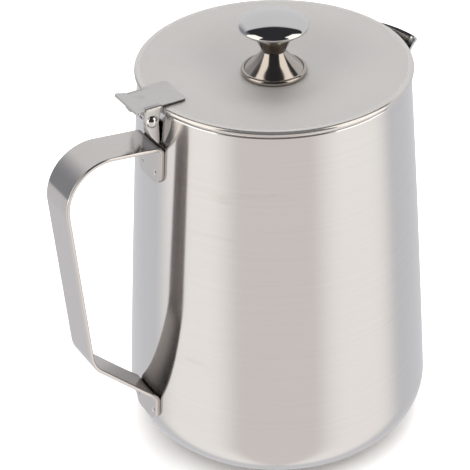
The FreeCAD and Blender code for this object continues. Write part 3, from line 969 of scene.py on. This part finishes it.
def dull_shaded_inside(material, colour_factor, rough):
    """A duller metal on the faces that look at the jug, painted darker and browner there as shade between
    the strap and the jug.
    """
    nodes, links = tree_of(material)
    facing = axis_of(nodes, links, coordinates(nodes, "Normal"), "X")
    # Painted shade on the faces towards the jug, along with their higher roughness.
    change_where(material, share_from(nodes, links, facing, 0.45, 0.8), colour_factor, rough)


def darken_spots(material, places, radius, colour_factor, rough):
    """Small dark marks round places in millimetres."""
    nodes, links = tree_of(material)
    where = coordinates(nodes, "Object")
    for place in places:
        gap = nodes.new("ShaderNodeVectorMath")
        gap.operation = "DISTANCE"
        gap.inputs[1].default_value = place * MM
        links.new(where, gap.inputs[0])
        share = share_from(nodes, links, gap.outputs["Value"], radius * MM, 0.6 * radius * MM)
        change_where(material, share, colour_factor, rough)


def paint_edge_shade(material, reach, colour_factor, rough):
    """Painted shade and painted dark reflection on the side edges, as far from the jug's axis as a reach
    in millimetres.
    """
    nodes, links = tree_of(material)
    sideways = nodes.new("ShaderNodeMath")
    sideways.operation = "ABSOLUTE"
    links.new(axis_of(nodes, links, coordinates(nodes, "Normal"), "Y"), sideways.inputs[0])
    edge = share_from(nodes, links, sideways.outputs["Value"], 0.6, 0.85)
    x = axis_of(nodes, links, coordinates(nodes, "Object"), "X")
    inner = share_from(nodes, links, x, (-reach - 0.3) * MM, (-reach + 0.3) * MM)
    # The side edges over the lid are painted dark: painted shade of the gap under the plate.
    change_where(material, product(nodes, links, edge, inner), colour_factor, rough)


def brushed_jug_steel():
    """Brushed round the jug, with faint wiping marks."""
    material = steel("jug_steel", (0.66, 0.65, 0.64), rough=0.13, rough_spread=0.02,
                     grain=(12, 12, 900), grain_depth=0.002, stretch=0.95, turn=0.25)
    smudges(material, (30, 30, 90), start=0.62, end=0.8, colour_factor=(0.965, 0.95, 0.93), rough=0.2)
    smudges(material, (4, 4, 1.5), start=0.5, end=0.7, colour_factor=(0.985, 0.98, 0.975), rough=0.15)
    return material


def satin_lid_steel():
    """Satin, with a polished curled edge."""
    material = steel("lid_steel", (0.62, 0.605, 0.59), rough=0.6, rough_spread=0.03,
                     grain=(300, 300, 300), grain_depth=0.002, metallic=0.85)
    smudges(material, (25, 25, 25), start=0.6, end=0.75, colour_factor=(0.97, 0.96, 0.95), rough=0.55)
    polish_rim(material, POLISHED_FROM, colour_factor=(0.94, 0.93, 0.92), rough=0.14)
    return material


def strap_steel():
    """Polished along its length, duller inside with painted shade there, and with dark weld marks in the
    dents of its tabs.
    """
    material = steel("handle_steel", (0.62, 0.595, 0.575), rough=0.14, rough_spread=0.03,
                     grain=(40, 900, 40), grain_depth=0.002)
    # The inside faces, towards the jug, get a duller finish and painted shade.
    dull_shaded_inside(material, colour_factor=(0.72, 0.68, 0.66), rough=0.25)
    marks = []
    for y, height in weld_places():
        face = near_wall(y, height) + STRAP_THICKNESS
        marks.append(Vector((0.5 * WELD_DEPTH - face, y, height)))
    darken_spots(material, marks, 0.75 * WELD_RADIUS, colour_factor=(0.2, 0.18, 0.17), rough=0.5)
    smudges(material, (60, 60, 60), start=0.6, end=0.8, colour_factor=(0.93, 0.91, 0.88), rough=0.22)
    return material


def folded_plate_steel():
    """Lightly polished, with painted shade on its side edges over the lid."""
    material = steel("plate_steel", (0.61, 0.60, 0.585), rough=0.28, rough_spread=0.03,
                     grain=(200, 300, 300), grain_depth=0.0008)
    smudges(material, (90, 90, 90), start=0.55, end=0.75, colour_factor=(0.94, 0.93, 0.91), rough=0.36)
    # Painted shade on the plate's side edges over the lid.
    paint_edge_shade(material, EAR_INNER_REACH, colour_factor=(0.16, 0.14, 0.13), rough=0.4)
    return material


def bracket_steel():
    return steel("hinge_steel", (0.6, 0.59, 0.58), rough=0.2, rough_spread=0.03,
                 grain=(300, 300, 300), grain_depth=0.002)


def rivet_steel():
    return steel("pin_steel", (0.7, 0.69, 0.68), rough=0.08, rough_spread=0.02,
                 grain=(300, 300, 300), grain_depth=0.001)


def chromed_knob():
    """Bright chrome on the cap, over a turned foot and neck, with painted shade on the neck under the
    cap.
    """
    material = steel("knob_chrome", (0.62, 0.615, 0.61), rough=0.06, rough_spread=0.015,
                     grain=(60, 60, 60), grain_depth=0.001)
    # The neck factor is painted shade under the cap's brim.
    turned_foot_shaded_neck(material, colour_factor=(0.74, 0.68, 0.63), neck_shade_factor=(0.40, 0.385, 0.375), rough=0.13)
    return material


def screw_steel():
    return steel("fastener_steel", (0.6, 0.6, 0.59), rough=0.25, rough_spread=0.03,
                 grain=(300, 300, 300), grain_depth=0.002)


# ---- camera and light ---------------------------------------------------------------------
#
# Azimuths are in degrees to the camera's right from the camera's own side of the jug.

CAMERA_PLACE = Vector((-0.4099, -0.6821, 0.6137))
CAMERA_AIM = Vector((-0.0160, 0.0096, 0.0927))
CAMERA_ROLL = math.radians(-1.344)
CAMERA_LENS = 159.0
CAMERA_SIDE = -121.0

SWEEP_TILT = math.radians(31)
SWEEP_TONE = (0.84, 0.84, 0.85)
ROOM_TONE = (0.04, 0.04, 0.045)
GAP_TONE = (0.31, 0.32, 0.35)
GAP_SIDE = -108.0
GAP_START = math.cos(math.radians(48))
GAP_END = math.cos(math.radians(6))
GAP_LOW = -0.17
TABLE_FRONT_TONE = (0.86, 0.805, 0.785)
TABLE_BACK_TONE = (0.74, 0.74, 0.77)
GLOW_TONE = (1.15, 1.11, 1.08)
GLOW_SIDE = 68.0
GLOW_START = math.cos(math.radians(42))
GLOW_END = math.cos(math.radians(10))

FLOOR_HALF = 4.0
FLOOR_TONE = 0.92
SOFT_BOX_TONE = (1.0, 0.95, 0.88)
SOFT_BOX_SIDES = (("soft_left", -67), ("soft_right", 70))
SOFT_BOX_DISTANCE = 0.9
SOFT_BOX_HEIGHT = 0.8


def from_front(azimuth, distance, height):
    """Place at an azimuth from the camera's side."""
    angle = math.radians(CAMERA_SIDE + azimuth)
    return Vector((distance * math.cos(angle), distance * math.sin(angle), height))


def aimed(place, aim):
    """The turn of a camera or light that looks from a place towards another."""
    return (aim - place).to_track_quat("-Z", "Y")


def build_camera():
    data = bpy.data.cameras.new("camera")
    data.lens = CAMERA_LENS
    data.sensor_width = 36.0
    data.clip_start = 0.05
    data.clip_end = 20
    camera = bpy.data.objects.new("camera", data)
    bpy.context.scene.collection.objects.link(camera)
    camera.location = CAMERA_PLACE
    camera.rotation_mode = "QUATERNION"
    roll = Quaternion((0, 0, 1), CAMERA_ROLL)
    camera.rotation_quaternion = aimed(CAMERA_PLACE, CAMERA_AIM) @ roll
    bpy.context.scene.camera = camera


def area_light(name, place, aim, width, tall, radiance, colour=(1, 1, 1), mirrored=True):
    """A soft box that shines with an even radiance, and that steel mirrors unless told not to."""
    data = bpy.data.lights.new(name, "AREA")
    data.shape = "RECTANGLE"
    data.size = width
    data.size_y = tall
    data.energy = radiance * math.pi * width * tall
    data.color = colour
    light = bpy.data.objects.new(name, data)
    bpy.context.scene.collection.objects.link(light)
    light.location = place
    light.rotation_mode = "QUATERNION"
    light.rotation_quaternion = aimed(place, aim)
    light.visible_camera = False
    light.visible_glossy = mirrored


def build_lights():
    """Two tall soft boxes beside the camera, and two washes that the steel does not mirror."""
    jug_middle = Vector((0, 0, 0.1))
    for name, azimuth in SOFT_BOX_SIDES:
        place = from_front(azimuth, SOFT_BOX_DISTANCE, SOFT_BOX_HEIGHT)
        aim = Vector((0, 0, SOFT_BOX_HEIGHT))
        area_light(name, place, aim, width=0.75, tall=1.5, radiance=1.6, colour=SOFT_BOX_TONE)
    behind = from_front(180, 0.5, 0.9)
    area_light("back_wash", behind, jug_middle, width=1.2, tall=0.6, radiance=1.2, mirrored=False)
    overhead = Vector((0, 0, 1.4))
    area_light("top_wash", overhead, jug_middle, width=2.4, tall=2.4, radiance=3.0, mirrored=False)


def build_floor():
    """A pale floor that takes the jug's shadow."""
    mesh = bpy.data.meshes.new("studio_floor")
    corners = ((-1, -1), (1, -1), (1, 1), (-1, 1))
    mesh.from_pydata([(FLOOR_HALF * x, FLOOR_HALF * y, 0) for x, y in corners], [], [(0, 1, 2, 3)])
    floor = bpy.data.objects.new("studio_floor", mesh)
    bpy.context.scene.collection.objects.link(floor)
    material = bpy.data.materials.new("studio_floor")
    material.use_nodes = True
    shader = material.node_tree.nodes["Principled BSDF"]
    shader.inputs["Base Color"].default_value = (FLOOR_TONE, FLOOR_TONE, FLOOR_TONE, 1)
    shader.inputs["Roughness"].default_value = 0.5
    mesh.materials.append(material)
    floor.visible_glossy = False


def blend_by(nodes, links, vector, towards, start, end):
    """Share that grows from 0 to 1 as a vector's dot product with another goes from start to end."""
    along = nodes.new("ShaderNodeVectorMath")
    along.operation = "DOT_PRODUCT"
    along.inputs[1].default_value = towards
    links.new(vector, along.inputs[0])
    return share_from(nodes, links, along.outputs["Value"], start, end)


def table_tone(nodes, links, direction):
    """A pale table, brighter on each side of the camera, where the soft boxes shine on it."""
    level = nodes.new("ShaderNodeVectorMath")
    level.operation = "NORMALIZE"
    links.new(flattened(nodes, links, direction), level.inputs[0])
    around = level.outputs["Vector"]
    in_front = blend_by(nodes, links, around, from_front(0, 1, 0), -0.5, 0.5)
    table = mix_tones(nodes, links, in_front, TABLE_BACK_TONE, TABLE_FRONT_TONE)
    for azimuth in (-GLOW_SIDE, GLOW_SIDE):
        glow = blend_by(nodes, links, around, from_front(azimuth, 1, 0), GLOW_START, GLOW_END)
        table = mix_tones(nodes, links, glow, table, GLOW_TONE)
    return table


def build_world():
    """A pale sweep behind and over the jug, a dark room in front of it, and a table all round.

    On the left the sweep ends, and a dark gap shows between it and the left soft box.
    """
    world = bpy.data.worlds.new("studio")
    world.use_nodes = True
    nodes = world.node_tree.nodes
    links = world.node_tree.links
    direction = coordinates(nodes, "Generated")
    up = (0, 0, 1)
    back = from_front(180, math.cos(SWEEP_TILT), -math.sin(SWEEP_TILT))
    in_sweep = blend_by(nodes, links, direction, back, -0.03, 0.03)
    above = mix_tones(nodes, links, in_sweep, ROOM_TONE, SWEEP_TONE)
    over_table = blend_by(nodes, links, direction, up, -0.01, 0.01)
    tone = mix_tones(nodes, links, over_table, table_tone(nodes, links, direction), above)
    near_gap = blend_by(nodes, links, direction, from_front(GAP_SIDE, 1, 0), GAP_START, GAP_END)
    over_low = blend_by(nodes, links, direction, up, GAP_LOW - 0.02, GAP_LOW + 0.02)
    tone = mix_tones(nodes, links, product(nodes, links, near_gap, over_low), tone, GAP_TONE)
    links.new(tone, nodes["Background"].inputs["Color"])
    bpy.context.scene.world = world


def main():
    build_jug_body(brushed_jug_steel())
    build_lid(satin_lid_steel())
    knob_chrome = chromed_knob()
    build_knob_foot(knob_chrome)
    build_knob_cap(knob_chrome)
    build_strap(strap_steel())
    build_thumb_plate(folded_plate_steel())
    build_bracket(bracket_steel())
    build_pin(rivet_steel())
    fastener_steel = screw_steel()
    for node in ("knob_flat_washer", "knob_lock_washer", "knob_screw"):
        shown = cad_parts[node]
        shown.data.materials.clear()
        shown.data.materials.append(fastener_steel)
    build_floor()
    build_world()
    build_camera()
    build_lights()
    bpy.context.scene.view_settings.view_transform = "Standard"


main()
